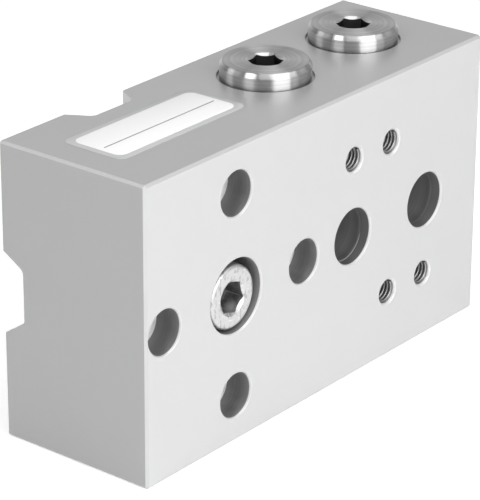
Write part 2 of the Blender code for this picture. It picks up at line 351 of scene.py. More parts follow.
@dataclass(frozen=True)
class SatinAluminium:
    """Clear anodised aluminium with a fine satin face; its machined bores carry painted shade, its
    hole rims and counterbore floors painted light.

    The ports are the two large stepped bores, the fixings are the other bores right of ports_from.
    """

    colour: Colour = (0.598, 0.599, 0.602)
    rim_highlight_colour: Colour = grey(0.80)
    bore_shade_colour: Colour = (0.250, 0.250, 0.252)
    fixing_shade_colour: Colour = grey(0.42)
    painted_light_colour: Colour = grey(0.76)
    deep_port_shade: Colour = (0.270, 0.270, 0.272)
    near_port_shade: Colour = (0.145, 0.145, 0.146)
    land_shade: Colour = (0.110, 0.110, 0.111)
    step_shade: Colour = (0.100, 0.100, 0.101)
    edge_shade_colour: Colour = grey(0.06)
    end_shade: float = 0.28
    top_shade: float = 0.035
    roughness: float = 0.42
    top_polish: float = 0.10
    metallic: float = 0.46
    top_metallic: float = 0.14
    floor_metallic: float = -0.28
    port_metallic: float = -0.22
    rim_highlight_metallic: float = -0.12
    squarely: float = 0.9
    turned_in: float = 0.7
    flat_front: float = 0.95
    edge: float = 1.0 * MM
    skin: float = 0.42 * MM
    groove_depth: float = 6.2 * MM
    ports_from: float = -20.0 * MM
    port_reach: float = 8.0 * MM
    port_axis: float = -12.0 * MM
    land_depth: float = 2.02 * MM
    dark_depth: float = 5.0 * MM
    glint_radius: float = 5.58 * MM
    glint_top: float = 1.0 * MM
    glint_bottom: float = 3.0 * MM
    ring_radius: float = 9.5 * MM
    ring_width: float = 0.10 * MM
    ring_skin: float = 0.3 * MM

    def material(self, low: Vector, high: Vector, axes: list[Vector]) -> Material:
        """The block's finish.

        Args:
            low: The block's lowest corner.
            high: The block's highest corner.
            axes: A point on the axis of each spotface on the top.

        Returns:
            The material.
        """
        g = ShaderGraph("satin_aluminium_block")
        where = g.place()
        x, y, z = g.parts(where)
        depth = y - low.y
        sideways, facing, upward = g.parts(g.node("ShaderNodeNewGeometry", output="True Normal"))
        cloud = g.noise(where, 38.0, 3.0, 0.55)
        patch = g.noise(where, 130.0)
        grain = g.noise(where, 5200.0, roughness=0.6)
        lay = g.noise(g.stretched(where, (160.0, 160.0, 9000.0)))
        rings = g.noise(g.stretched(where, (60.0, 7000.0, 60.0)), detail=3.0, roughness=0.7)

        reach = (high.x - low.x) / 2 - self.edge
        across = (x - (low.x + high.x) / 2).size().below(reach)
        within = across * z.size().below(high.z - self.edge)
        bore = depth.above(self.skin) * y.below(high.y - self.groove_depth) * within
        rim_highlights = depth.below(self.skin) * within * facing.above(-self.flat_front)
        valve_side = x.above(self.ports_from)
        ports = valve_side * z.size().below(self.port_reach)
        front_facing = bore * facing.below(-self.turned_in)
        floors = front_facing * (1.0 - valve_side)
        steps = front_facing * ports
        # a thin arc low on the left port's step, for a painted glint
        painted_glint_arc = from_axis(x - self.port_axis, z).below(self.glint_radius)
        painted_glint_arc = painted_glint_arc * (0.0 - z).ramp(self.glint_top, self.glint_bottom)
        ends = sideways.size().above(self.squarely)
        tops = upward.above(self.squarely)

        face = g.shades(cloud * 0.35 + patch * 0.30 + grain * 0.35, self.colour, 0.965, 1.03)
        outer = g.mix(ends * self.end_shade + tops * self.top_shade, face, BLACK)
        # painted highlight on the broken edges round the holes
        outer = g.mix(rim_highlights, outer, self.rim_highlight_colour)
        # painted shade on the bore walls over faint machining rings, a lighter painted shade in
        # the fixings
        wall = g.shades(rings.ramp(0.25, 0.75), self.bore_shade_colour, 0.88, 1.14)
        wall = g.mix(valve_side, wall, self.fixing_shade_colour)
        # painted shade on the port walls: darkest on the land at the mouth, lighter further in,
        # where less light reaches
        port = g.shades(rings.ramp(0.3, 0.7), self.deep_port_shade, 0.85, 1.18)
        port = g.mix(depth.ramp(self.land_depth, self.dark_depth), self.near_port_shade, port)
        port = g.mix(depth.above(self.land_depth), self.land_shade, port)
        # painted light on the counterbore floors
        inner = g.mix(floors, g.mix(ports, wall, port), self.painted_light_colour)
        # painted shade on the ports' front-facing step
        inner = g.mix(steps, inner, self.step_shade)
        # painted glint on that arc, in the same painted light colour
        inner = g.mix(steps * painted_glint_arc * 0.6, inner, self.painted_light_colour)
        metal = g.mix(bore, outer, inner)
        # painted shade along the edge of each spotface
        edge_shade_mask = self.spotface_edge_shade((x, y, z), high.z, axes)
        g.set(
            Base_Color=g.mix(edge_shade_mask * 0.55, metal, self.edge_shade_colour),
            Metallic=self.metallic + tops * self.top_metallic + floors * self.floor_metallic
            + bore * ports * self.port_metallic + rim_highlights * self.rim_highlight_metallic,
            Roughness=self.roughness - tops * self.top_polish
            + cloud * 0.04 + lay * 0.03 + bore * 0.10,
            Normal=g.bump(grain * 0.8 + lay * 0.2 + rings * bore * 0.5, 0.12, 0.01 * MM),
        )
        return g.material

    def spotface_edge_shade(self, place: tuple[Wire, ...], top: float, axes: list[Vector]) -> Wire:
        """Painted shade: a fine dark line on the edge of each spotface on the top.

        Args:
            place: The three Object coordinates.
            top: Height of the block's top.
            axes: A point on the axis of each spotface.

        Returns:
            The mask.
        """
        x, y, z = place
        total: object = 0.0
        for axis in axes:
            off_ring = from_axis(x - axis.x, y - axis.y) - self.ring_radius
            total = off_ring.size().below(self.ring_width) + total
        return total * z.above(top - self.ring_skin)


@dataclass(frozen=True)
class CutThread:
    """The ridges of a tapped hole, with a painted highlight along the crest and painted shade in
    the root.
    """

    crest_highlight_colour: Colour = grey(0.40)
    root_shade_colour: Colour = grey(0.15)

    def material(
        self, name: str, axis: Vector, facing: Facing, crest: float, root: float
    ) -> Material:
        """The finish of one thread.

        Args:
            name: The material's name.
            axis: A point on the thread's axis.
            facing: Where the hole opens.
            crest: Radius of the crest.
            root: Radius of the root.

        Returns:
            The material.
        """
        g = ShaderGraph(name)
        where = g.place(axis)
        x, y, z = g.parts(where)
        radius = from_axis(x, z if facing is Facing.FRONT else y)
        grain = g.noise(where, 2600.0, 3.0, 0.6)
        # painted highlight along the crest, painted shade in the root
        height = radius.ramp(crest + (root - crest) * 0.04, crest + (root - crest) * 0.60)
        g.set(
            Base_Color=g.mix(height, self.crest_highlight_colour, self.root_shade_colour),
            Metallic=0.8,
            Roughness=0.38 + grain * 0.08,
            Normal=g.bump(grain, 0.15, 0.02 * MM),
        )
        return g.material


@dataclass(frozen=True)
class TurnedSteel:
    """Bright plated steel with turning rings around a vertical axis."""

    colour: Colour = (0.600, 0.600, 0.597)
    socket_shade_colour: Colour = grey(0.12)
    lead_glint_colour: Colour = grey(0.78)
    bevel_highlight_colour: Colour = grey(0.9)
    side_shade: float = 0.17
    bevel_shine: float = 0.10
    roughness: float = 0.245
    ring_pitch: float = 0.42 * MM
    side_radius: float = 8.97 * MM
    bevel_radius: float = 8.38 * MM
    lead_skin: float = 0.04 * MM
    lead_depth: float = 2.0 * MM
    socket_depth: float = 5.6 * MM

    def material(self, name: str, axis: Vector, top: float, lead: float) -> Material:
        """A plug's finish.

        Args:
            name: The material's name.
            axis: A point on the turning axis, level with the collar's underside.
            top: Height of the collar's top above that point.
            lead: Radius of the socket's conical lead-in.

        Returns:
            The material.
        """
        g = ShaderGraph(name)
        where = g.place(axis)
        x, y, z = g.parts(where)
        radius = from_axis(x, y)
        section = g.node("ShaderNodeCombineXYZ", inputs={"X": radius, "Y": z})
        rings = (radius * (math.tau / self.ring_pitch)).sine()
        wide = g.noise(section, 1500.0, 3.0, 0.7)
        fine = g.noise(section, 9000.0, roughness=0.6)
        cloud = g.noise(where, 220.0, 3.0, 0.6)

        side = radius.above(self.side_radius)
        bevel = radius.above(self.bevel_radius) * (1.0 - side)
        hollow = radius.below(lead)
        under_lead = (z - top + (lead - radius) * LEAD_SLOPE).below(-self.lead_skin)
        socket = under_lead * hollow * z.above(top - self.socket_depth)
        lead_face = hollow * (1.0 - under_lead) * z.above(top - self.lead_depth)

        streaks = wide.ramp(0.25, 0.75) * 0.5 + fine.ramp(0.3, 0.7) * 0.3 + cloud * 0.2
        turned = g.shades(streaks, self.colour, 0.70, 1.22)
        # painted shade on the collar's side, a faint painted highlight on its bevel, a painted
        # glint on the socket's lead-in cone and painted shade in the socket
        turned = g.mix(side * self.side_shade, turned, BLACK)
        turned = g.mix(bevel * self.bevel_shine, turned, self.bevel_highlight_colour)
        turned = g.mix(lead_face, turned, self.lead_glint_colour)
        g.set(
            Base_Color=g.mix(socket, turned, self.socket_shade_colour),
            Metallic=1.0,
            Roughness=self.roughness + cloud * 0.05 + wide * 0.05,
            Anisotropic=1.0,
            Anisotropic_Rotation=0.25,
            Normal=g.bump(rings * 0.25 + wide * 0.5 + fine * 0.5, 0.22, 0.02 * MM),
        )
        return g.material


@dataclass(frozen=True)
class ZincPlate:
    """Pale zinc plated steel of a socket head screw, whose axis runs along Y."""

    colour: Colour = grey(0.62)
    dent_colour: Colour = grey(0.30)
    scratch_glint_colour: Colour = grey(0.92)
    socket_shade_colour: Colour = grey(0.29)
    glint_colour: Colour = grey(0.80)
    glint_place: Triple = (1.3 * MM, 1.5 * MM, -2.9 * MM)
    glint_radius: float = 1.9 * MM
    socket_radius: float = 3.6 * MM
    socket_from: float = 0.4 * MM
    socket_to: float = 1.2 * MM
    corner_radius: float = 3.41 * MM
    roughness: float = 0.33

    def material(self, axis: Vector) -> Material:
        """The screw's finish: pale plating with small handling marks and scratches with painted
        glints, and a socket in painted shade with a painted glint and painted highlights on its
        corners.

        Args:
            axis: The centre of the head's face.

        Returns:
            The material.
        """
        g = ShaderGraph("zinc_plated_steel")
        where = g.place(axis)
        x, y, z = g.parts(where)
        radius = from_axis(x, z)
        cloud = g.noise(where, 420.0, 3.0, 0.65)
        marks = g.noise(g.stretched(where, (1500.0, 600.0, 520.0)), detail=4.0, roughness=0.75)
        scratch_glints = g.noise(g.stretched(where, (700.0, 600.0, 1900.0)), detail=3.0, roughness=0.8)
        dents = marks.ramp(0.52, 0.62)
        socket = y.ramp(self.socket_from, self.socket_to) * radius.below(self.socket_radius)
        # painted highlight: a thin light line along the socket's corners
        corner = socket * radius.above(self.corner_radius)

        plated = g.mix(dents * 0.8, g.shades(cloud, self.colour, 0.90), self.dent_colour)
        # scratches with painted glints
        plated = g.mix(scratch_glints.ramp(0.58, 0.70) * 0.8, plated, self.scratch_glint_colour)
        # painted shade in the socket
        shaded_socket = g.shades(cloud.ramp(0.3, 0.7), self.socket_shade_colour, 0.6, 1.4)
        # painted glint round a point on one of the socket's flats
        away = g.node(
            "ShaderNodeVectorMath", {"operation": "DISTANCE"}, {0: where, 1: self.glint_place},
            output="Value",
        )
        glint = 1.0 - away.ramp(0.0, self.glint_radius)
        shaded_socket = g.mix(glint * 0.9, shaded_socket, self.glint_colour)
        g.set(
            Base_Color=g.mix(corner, g.mix(socket, plated, shaded_socket), self.colour),
            Metallic=0.85,
            Roughness=self.roughness + cloud * 0.08 - dents * 0.06,
            Normal=g.bump(cloud * 0.4 + marks * 0.6, 0.45, 0.04 * MM),
        )
        return g.material


@dataclass(frozen=True)
class SealRubber:
    """Matt black rubber."""

    dark: Colour = grey(0.022)
    light: Colour = grey(0.035)

    def material(self) -> Material:
        """The sealing rings' finish: a fine matt grain.

        Returns:
            The material.
        """
        g = ShaderGraph("seal_rubber")
        grain = g.noise(g.place(), 4000.0)
        g.set(
            Base_Color=g.mix(grain, self.dark, self.light),
            Roughness=0.55 + grain * 0.1,
            Normal=g.bump(grain, 0.2, 0.02 * MM),
        )
        return g.material


@dataclass(frozen=True)
class LabelFilm:
    """Clear film that lies on the metal and looks pale grey."""

    colour: Colour = (0.63, 0.635, 0.64)

    def material(self) -> Material:
        """The film's finish: even and slightly glossy, with a faint ripple.

        Returns:
            The material.
        """
        g = ShaderGraph("label_film")
        ripple = g.noise(g.place(), 260.0)
        g.set(
            Base_Color=g.shades(ripple, self.colour, 0.97),
            Metallic=0.25,
            Roughness=0.30 + ripple * 0.05,
            Normal=g.bump(ripple, 0.08, 0.05 * MM),
        )
        return g.material


@dataclass(frozen=True)
class LabelPaper:
    """White label face with one plain dividing line and no lettering.

    line_share is the line's place, as a share of the label's depth from its front edge.
    """

    low: Vector
    high: Vector
    colour: Colour = grey(0.97)
    ink: Colour = grey(0.16)
    line_share: float = 0.42
    half_line: float = 0.16 * MM
    line_start: float = 1.2 * MM
    line_end: float = 1.0 * MM

    def material(self) -> Material:
        """The label's finish.

        Returns:
            The material.
        """
        g = ShaderGraph("label_white")
        where = g.place()
        x, y, _ = g.parts(where)
        fibre = g.noise(where, 2600.0, 3.0, 0.6)
        line_y = self.low.y + self.line_share * (self.high.y - self.low.y)
        line = (y - line_y).size().below(self.half_line)
        line = line * (x - self.low.x - self.line_start).above(0.0)
        line = line * (self.high.x - self.line_end - x).above(0.0)
        g.set(
            Base_Color=g.mix(line * 0.9, g.shades(fibre, self.colour, 0.985), self.ink),
            Roughness=0.42 + fibre * 0.05,
            Normal=g.bump(fibre, 0.06, 0.02 * MM),
        )
        return g.material


def smooth(mesh: Mesh, sharp_from: float) -> None:
    """Shades a mesh smooth, apart from edges sharper than an angle in radians."""
    mesh.shade_smooth()
    mesh.set_sharp_from_angle(angle=sharp_from)


class Shape:
    """A bmesh that becomes one piece of the scene."""

    def __init__(self) -> None:
        """Starts empty."""
        self.bm = bmesh.new()

    def turned(self, profile: Profile, steps: int) -> Shape:
        """Turns (radius, height) points around the z axis.

        Args:
            profile: Points from one end of the axis to the other.
            steps: Facets around.

        Returns:
            This shape.
        """
        verts = [self.bm.verts.new((radius, 0.0, height)) for radius, height in profile]
        edges = [self.bm.edges.new(pair) for pair in zip(verts, verts[1:])]
        return self._spun(verts + edges, math.tau, steps)

    def helix(self, section: Profile, pitch: float, turns: float) -> Shape:
        """Sweeps a closed section along a right-hand helix and caps its ends.

        Args:
            section: The closed section's (radius, height) points.
            pitch: Advance for each turn.
            turns: Number of turns.

        Returns:
            This shape.
        """
        start = self.bm.faces.new(
            [self.bm.verts.new((radius, 0.0, height)) for radius, height in section]
        )
        geometry = [start, *start.edges, *start.verts]
        steps = round(turns * THREAD_STEPS)
        return self._spun(geometry, math.tau * turns, steps, pitch / THREAD_STEPS)

    def _spun(self, geometry: list, angle: float, steps: int, rise: float = 0.0) -> Shape:
        """Spins geometry around the z axis, and joins its ends unless it rises."""
        bmesh.ops.spin(
            self.bm, geom=geometry, cent=(0, 0, 0), axis=(0, 0, 1), dvec=(0, 0, rise),
            angle=angle, steps=steps, use_merge=rise == 0.0, use_duplicate=False,
        )
        return self

    def hexagon(self, flats: float, low: float, high: float, turn: float) -> Shape:
        """A hexagonal prism.

        Args:
            flats: Distance across its flats.
            low: Height of its lower end.
            high: Height of its upper end.
            turn: Angle of a corner, from the shape's x axis.

        Returns:
            This shape.
        """
        corner = flats / 2 / math.cos(math.radians(30.0))
        place = Matrix.Translation((0, 0, (high + low) / 2))
        bmesh.ops.create_cone(
            self.bm, cap_ends=True, segments=6, radius1=corner, radius2=corner, depth=high - low,
            matrix=place @ Matrix.Rotation(turn - math.pi / 2, 4, "Z"),
        )
        return self

    def bevelled(self, edges: list[bmesh.types.BMEdge], offset: float, segments: int) -> None:
        """Rounds edges of the mesh."""
        bmesh.ops.bevel(
            self.bm, geom=edges, offset=offset, offset_type="OFFSET", affect="EDGES",
            segments=segments, profile=0.5, material=-1,
        )

    def moved(self, matrix: Matrix) -> Shape:
        """Applies a place to the mesh."""
        bmesh.ops.transform(self.bm, matrix=matrix, verts=self.bm.verts)
        return self

    def closed_up(self) -> Shape:
        """Merges doubles and turns every face outwards.

        Returns:
            This shape.
        """
        bmesh.ops.remove_doubles(self.bm, verts=self.bm.verts, dist=TINY)
        bmesh.ops.recalc_face_normals(self.bm, faces=self.bm.faces)
        return self

    def piece(self, name: str, sharp_from: float = SHARP) -> Object:
        """Makes the object.

        Args:
            name: The piece's name.
            sharp_from: Edges sharper than this stay sharp.

        Returns:
            The object, at the origin.
        """
        mesh = bpy.data.meshes.new(name)
        self.bm.to_mesh(mesh)
        self.bm.free()
        smooth(mesh, sharp_from)
        made = bpy.data.objects.new(name, mesh)
        bpy.context.scene.collection.objects.link(made)
        return made


def carve(body: Object, tools: list[Object], sharp_from: float) -> None:
    """Cuts shapes out of a body and keeps the result in its mesh.

    Args:
        body: The piece that is cut.
        tools: The shapes to take away, which are deleted.
        sharp_from: Edges sharper than this stay sharp.
    """
    for tool in tools:
        cut = body.modifiers.new(tool.name, "BOOLEAN")
        cut.operation = "DIFFERENCE"
        cut.solver = "EXACT"
        cut.object = tool
    depsgraph = bpy.context.evaluated_depsgraph_get()
    mesh = bpy.data.meshes.new_from_object(body.evaluated_get(depsgraph))
    body.modifiers.clear()
    body.data = mesh
    for tool in tools:
        bpy.data.objects.remove(tool, do_unlink=True)
    smooth(body.data, sharp_from)


def dress(piece: Object, material: Material) -> None:
    """Gives a piece its one material."""
    piece.data.materials.clear()
    piece.data.materials.append(material)


def seat(piece: Object, material: Material, slot: Slot, *nodes: str) -> None:
    """Dresses a piece, and lets it ride on the plate and stand for CAD nodes.

    Args:
        piece: The finished piece.
        material: Its finish.
        slot: The record's material slot; not used.
        nodes: CAD nodes that it stands for.
    """
    dress(piece, material)
    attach(piece, BODY)
    if nodes:
        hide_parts(*nodes)
    LOG.info("%s: %d faces", piece.name, len(piece.data.polygons))


@dataclass(frozen=True)
class ThreadRidge:
    """A thread's ridge. Foot and crest are half widths, as shares of the pitch."""

    pitch: float
    foot_radius: float
    crest_radius: float
    foot: float
    crest: float
    turns: float

    def shape(self) -> Shape:
        """Winds the ridge upwards from the origin.

        Returns:
            The closed ridge.
        """
        foot, crest = self.pitch * self.foot, self.pitch * self.crest
        section = [
            (self.foot_radius, -foot), (self.crest_radius, -crest),
            (self.crest_radius, crest), (self.foot_radius, foot),
        ]
        return Shape().helix(section, self.pitch, self.turns).closed_up()


@dataclass(frozen=True)
class HexSocket:
    """A hexagon socket with a conical lead-in."""

    flats: float
    depth: float
    turn: float
    lead_radius: float

    def tools(self, top: float, place: Matrix) -> list[Object]:
        """The prism and the cone that cut the socket.

        Args:
            top: Height of the head's top above the screw's origin.
            place: The screw's place.

        Returns:
            The cutting tools.
        """
        over = top + OVERCUT
        prism = Shape().hexagon(self.flats, top - self.depth, over, self.turn)
        cone = Shape().turned(
            [
                (0.0, over),
                (self.lead_radius + OVERCUT / LEAD_SLOPE, over),
                (0.0, top - self.lead_radius * LEAD_SLOPE),
            ],
            HEAD_STEPS,
        )
        return [
            prism.closed_up().moved(place).piece("socket_tool"),
            cone.closed_up().moved(place).piece("lead_tool"),
        ]


@dataclass
class Block:
    """The drilled block, with the CAD shape and smooth bores."""

    node: Object
    low: Vector
    high: Vector
    axes: list[Vector]
    finish: SatinAluminium = SatinAluminium()
    merge: float = 1e-6
    flat_angle: float = math.radians(1.0)
    bore_angle: float = math.radians(28.0)
    wall_cuts: tuple[float, ...] = (3.0 * MM, 7.0 * MM, 10.5 * MM, 13.5 * MM)

    def build(self) -> None:
        """Copies the CAD shape, smooths its bores and leaves its planes flat."""
        shape = Shape()
        shape.bm.from_mesh(self.node.data)
        bmesh.ops.remove_doubles(shape.bm, verts=shape.bm.verts, dist=self.merge)
        for depth in self.wall_cuts:
            everything = [*shape.bm.verts, *shape.bm.edges, *shape.bm.faces]
            bmesh.ops.bisect_plane(
                shape.bm, geom=everything, dist=TINY,
                plane_co=(0.0, self.low.y + depth, 0.0), plane_no=(0, 1, 0),
            )
        curved = [self.is_curved(face) for face in shape.bm.faces]
        piece = shape.piece("block_body", self.bore_angle)
        for polygon, is_smooth in zip(piece.data.polygons, curved):
            polygon.use_smooth = is_smooth
        material = self.finish.material(self.low, self.high, self.axes)
        seat(piece, material, Slot.ALUMINIUM, "mounting_block")

    def is_curved(self, face: bmesh.types.BMFace) -> bool:
        """True for a facet of a bore, which meets another one at a small angle."""
        turns = (edge.calc_face_angle(0.0) for edge in face.edges)
        return any(self.flat_angle < turn < self.bore_angle for turn in turns)


@dataclass
class SocketScrew:
    """A turned screw with a hexagon socket and a thread that starts near its tip."""

    low: Vector
    high: Vector
    socket: HexSocket
    thread: ThreadRidge
    thread_start: float
    sharp_from: float

    def assemble(
        self, node: str, names: tuple[str, str], slot: Slot, material: Material,
        profile: Profile, place: Matrix, tools: list[Object],
    ) -> None:
        """Turns the body, cuts its socket and winds the thread on it.

        Args:
            node: The CAD node that the body stands for.
            names: Names of the body and of the thread.
            slot: The record's material slot.
            material: The finish.
            profile: Points from the top's centre to the tip's centre.
            place: The screw's place.
            tools: The shapes that are cut from the body.
        """
        body = Shape().turned(profile, HEAD_STEPS).closed_up().moved(place).piece(names[0])
        carve(body, tools, self.sharp_from)
        seat(body, material, slot, node)
        _, tip = profile[-1]
        start = Matrix.Translation((0, 0, tip + self.thread_start))
        thread = self.thread.shape().moved(place @ start).piece(names[1])
        seat(thread, material, slot)


@dataclass
class ScrewPlug(SocketScrew):
    """A collared screw plug with a hexagon socket, in the top of an air channel."""

    socket: HexSocket = HexSocket(6.0 * MM, 5.0 * MM, math.radians(9.5), 3.75 * MM)
    thread: ThreadRidge = ThreadRidge(1.337 * MM, 5.63 * MM, 6.28 * MM, 0.46, 0.10, 6.0)
    thread_start: float = 1.1 * MM
    sharp_from: float = math.radians(12.0)
    side: Side = field(kw_only=True)
    finish: TurnedSteel = TurnedSteel()
    collar_radius: float = 9.0 * MM
    flat_radius: float = 8.38 * MM
    bevel_height: float = 0.95 * MM
    collar_height: float = 3.5 * MM
    fillet: float = 0.07 * MM
    flat_ring: float = 0.1 * MM
    shank_length: float = 12.0 * MM
    tip_bevel: float = 0.5 * MM
    core_radius: float = 5.75 * MM
    neck_radius: float = 5.60 * MM
    neck_end: float = -1.6 * MM
    core_start: float = -1.9 * MM
    recess_radius: float = 8.0 * MM
    recess_depth: float = 1.4 * MM

    @property
    def axis(self) -> Vector:
        """Centre of the collar's underside."""
        middle = (self.low + self.high) / 2
        return Vector((middle.x, middle.y, self.high.z - self.collar_height))

    def profile(self) -> Profile:
        """The turned section.

        Returns:
            Points from the top's centre to the tip's centre.
        """
        top, tip = self.collar_height, -self.shank_length
        shoulder = top - self.bevel_height
        f = self.fillet
        return [
            (0.0, top),
            (self.flat_radius - f - self.flat_ring, top),
            (self.flat_radius - f, top),
            (self.flat_radius + f * 0.3, top - f * 0.55),
            (self.collar_radius - f * 0.35, shoulder + f),
            (self.collar_radius, shoulder - f),
            (self.collar_radius, f),
            (self.collar_radius - f, 0.0),
            (self.recess_radius, 0.0),
            (self.recess_radius, self.recess_depth),
            (self.neck_radius, self.recess_depth),
            (self.neck_radius, self.neck_end),
            (self.core_radius, self.core_start),
            (self.core_radius, tip + self.tip_bevel),
            (self.core_radius - self.tip_bevel, tip),
            (0.0, tip),
        ]

    def build(self) -> None:
        """Builds the plug and its thread."""
        place, side = Matrix.Translation(self.axis), self.side.value
        top = self.collar_height
        material = self.finish.material(
            f"turned_steel_{side}", self.axis, top, self.socket.lead_radius
        )
        self.assemble(
            f"plug_{side}", (f"plug_body_{side}", f"plug_thread_{side}"), Slot.STEEL, material,
            self.profile(), place, self.socket.tools(top, place),
        )


@dataclass
class ClampScrew(SocketScrew):
    """The socket head cap screw in the middle of the four counterbored holes."""

    socket: HexSocket = HexSocket(6.0 * MM, 4.2 * MM, math.radians(45.0), 3.72 * MM)
    thread: ThreadRidge = ThreadRidge(1.25 * MM, 3.25 * MM, 4.0 * MM, 0.45, 0.07, 21.0)
    thread_start: float = 0.75 * MM
    sharp_from: float = math.radians(26.0)
    finish: ZincPlate = ZincPlate()
    head_height: float = 8.0 * MM
    bevel: float = 0.55 * MM
    flat_ring: float = 0.1 * MM
    seat_bevel: float = 0.15 * MM
    shank_radius: float = 3.70 * MM
    shank_start: float = 0.4 * MM
    shank_end: float = 2.0 * MM
    thread_end: float = 2.4 * MM
    tip_bevel: float = 0.4 * MM
    point_radius: float = 2.85 * MM
    point_over: float = 0.4 * MM
    point_wall: float = 0.2 * MM
    point_depth: float = 1.5 * MM
    point_steps: int = 48
    core_radius: float = 3.35 * MM

    @property
    def face(self) -> Vector:
        """Centre of the head's face."""
        middle = (self.low + self.high) / 2
        return Vector((middle.x, self.low.y, middle.z))

    def profile(self) -> Profile:
        """The turned section.

        Returns:
            Points from the face's centre to the tip's centre.
        """
        r, b = (self.high.x - self.low.x) / 2, self.bevel
        under, tip = -self.head_height, self.low.y - self.high.y
        return [
            (0.0, 0.0),
            (r - b * 1.25 - self.flat_ring, 0.0),
            (r - b * 1.25, 0.0),
            (r - b * 0.80, -b * 0.10),
            (r - b * 0.42, -b * 0.36),
            (r - b * 0.12, -b * 0.75),
            (r, -b * 1.2),
            (r, under + self.seat_bevel),
            (r - self.seat_bevel, under),
            (self.thread.crest_radius, under),
            (self.shank_radius, under - self.shank_start),
            (self.shank_radius, under - self.shank_end),
            (self.core_radius, under - self.thread_end),
            (self.core_radius, tip + self.tip_bevel),
            (self.core_radius - self.tip_bevel, tip),
            (0.0, tip),
        ]

    def drill_point(self, place: Matrix) -> Object:
        """The tool that cuts the conical end of the socket.

        Args:
            place: The screw's place.

        Returns:
            The cutting tool.
        """
        end = -self.socket.depth
        cone = Shape().turned(
            [
                (0.0, end + self.point_over),
                (self.point_radius, end + self.point_over),
                (self.point_radius, end - self.point_wall),
                (0.0, end - self.point_depth),
            ],
            self.point_steps,
        )
        return cone.closed_up().moved(place).piece("point_tool")

    def build(self) -> None:
        """Builds the screw, its socket and its thread."""
        place = Matrix.Translation(self.face) @ Facing.FRONT.matrix()
        self.assemble(
            "clamp_screw", ("screw_body", "screw_thread"), Slot.ZINC,
            self.finish.material(self.face), self.profile(), place,
            [*self.socket.tools(0.0, place), self.drill_point(place)],
        )


@dataclass
class TappedHole:
    """The thread ridge inside a plain CAD hole."""

    name: str
    mouth: Vector
    facing: Facing
    wall_radius: float
    crest_radius: float
    pitch: float
    depth: float
    start: float
    run_out: float = 0.125
    sunk: float = 0.03 * MM
    finish: CutThread = CutThread()

    def build(self) -> None:
        """Builds the ridge from just under the mouth down into the hole."""
        turns = math.floor((self.depth - self.start) / self.pitch) + self.run_out
        foot_radius = self.wall_radius + self.sunk
        ridge = ThreadRidge(self.pitch, foot_radius, self.crest_radius, 0.44, 0.07, turns)
        sink = Matrix.Translation((0, 0, -self.start - turns * self.pitch))
        place = Matrix.Translation(self.mouth) @ self.facing.matrix() @ sink
        piece = ridge.shape().moved(place).piece(self.name)
        material = self.finish.material(
            f"cut_{self.name}", self.mouth, self.facing, self.crest_radius, self.wall_radius
        )
        seat(piece, material, Slot.ALUMINIUM)


@dataclass
class Label:
    """The white label and the clear film around it, lying on the top face."""

    film_low: Vector
    film_high: Vector
    panel_low: Vector
    panel_high: Vector
    top: float
    film_corner: float = 2.2 * MM
    panel_corner: float = 1.9 * MM
    thickness: float = 0.06 * MM
    film_gap: float = 0.01 * MM
    panel_gap: float = 0.005 * MM
    corner_steps: int = 10
    rim_share: float = 0.4
    rim_steps: int = 2
    rim_angle: float = 1.0
    sharp_from: float = math.radians(35.0)

    def sheet(self, name: str, low: Vector, high: Vector, bottom: float, corner: float) -> Object:
        """A thin sheet with rounded corners and a softened upper edge.

        Args:
            name: The piece's name.
            low: Corner with the smallest x and y.
            high: Corner with the largest x and y.
            bottom: Height of its underside.
            corner: Radius of its corners.

        Returns:
            The sheet.
        """
        shape = Shape()
        bm = shape.bm
        size = (high.x - low.x, high.y - low.y, self.thickness, 1.0)
        middle = ((high.x + low.x) / 2, (high.y + low.y) / 2, bottom + self.thickness / 2)
        place = Matrix.Translation(middle) @ Matrix.Diagonal(size)
        bmesh.ops.create_cube(bm, size=1.0, matrix=place)
        upright = [
            edge for edge in bm.edges
            if abs(edge.verts[0].co.z - edge.verts[1].co.z) > self.thickness / 2
        ]
        shape.bevelled(upright, corner, self.corner_steps)
        top = bottom + self.thickness
        rim = [
            edge for edge in bm.edges
            if all(abs(vert.co.z - top) < TINY for vert in edge.verts)
            and len(edge.link_faces) == 2 and edge.calc_face_angle(0.0) > self.rim_angle
        ]
        shape.bevelled(rim, self.thickness * self.rim_share, self.rim_steps)
        return shape.piece(name, self.sharp_from)

    def build(self) -> None:
        """Builds the film and the label face."""
        low = self.top + self.film_gap
        film = self.sheet("label_film_sheet", self.film_low, self.film_high, low, self.film_corner)
        seat(film, LabelFilm().material(), Slot.FILM, "label_film")
        low = low + self.thickness + self.panel_gap
        panel = self.sheet("label_face", self.panel_low, self.panel_high, low, self.panel_corner)
        paper = LabelPaper(self.panel_low, self.panel_high).material()
        seat(panel, paper, Slot.PAPER, "label_panel")


@dataclass(frozen=True)
class Lamp:
    """One soft rectangular lamp, placed by its angles in degrees and its distance."""

    name: str
    azimuth: float
    elevation: float
    distance: float
    width: float
    height: float
    watts: float


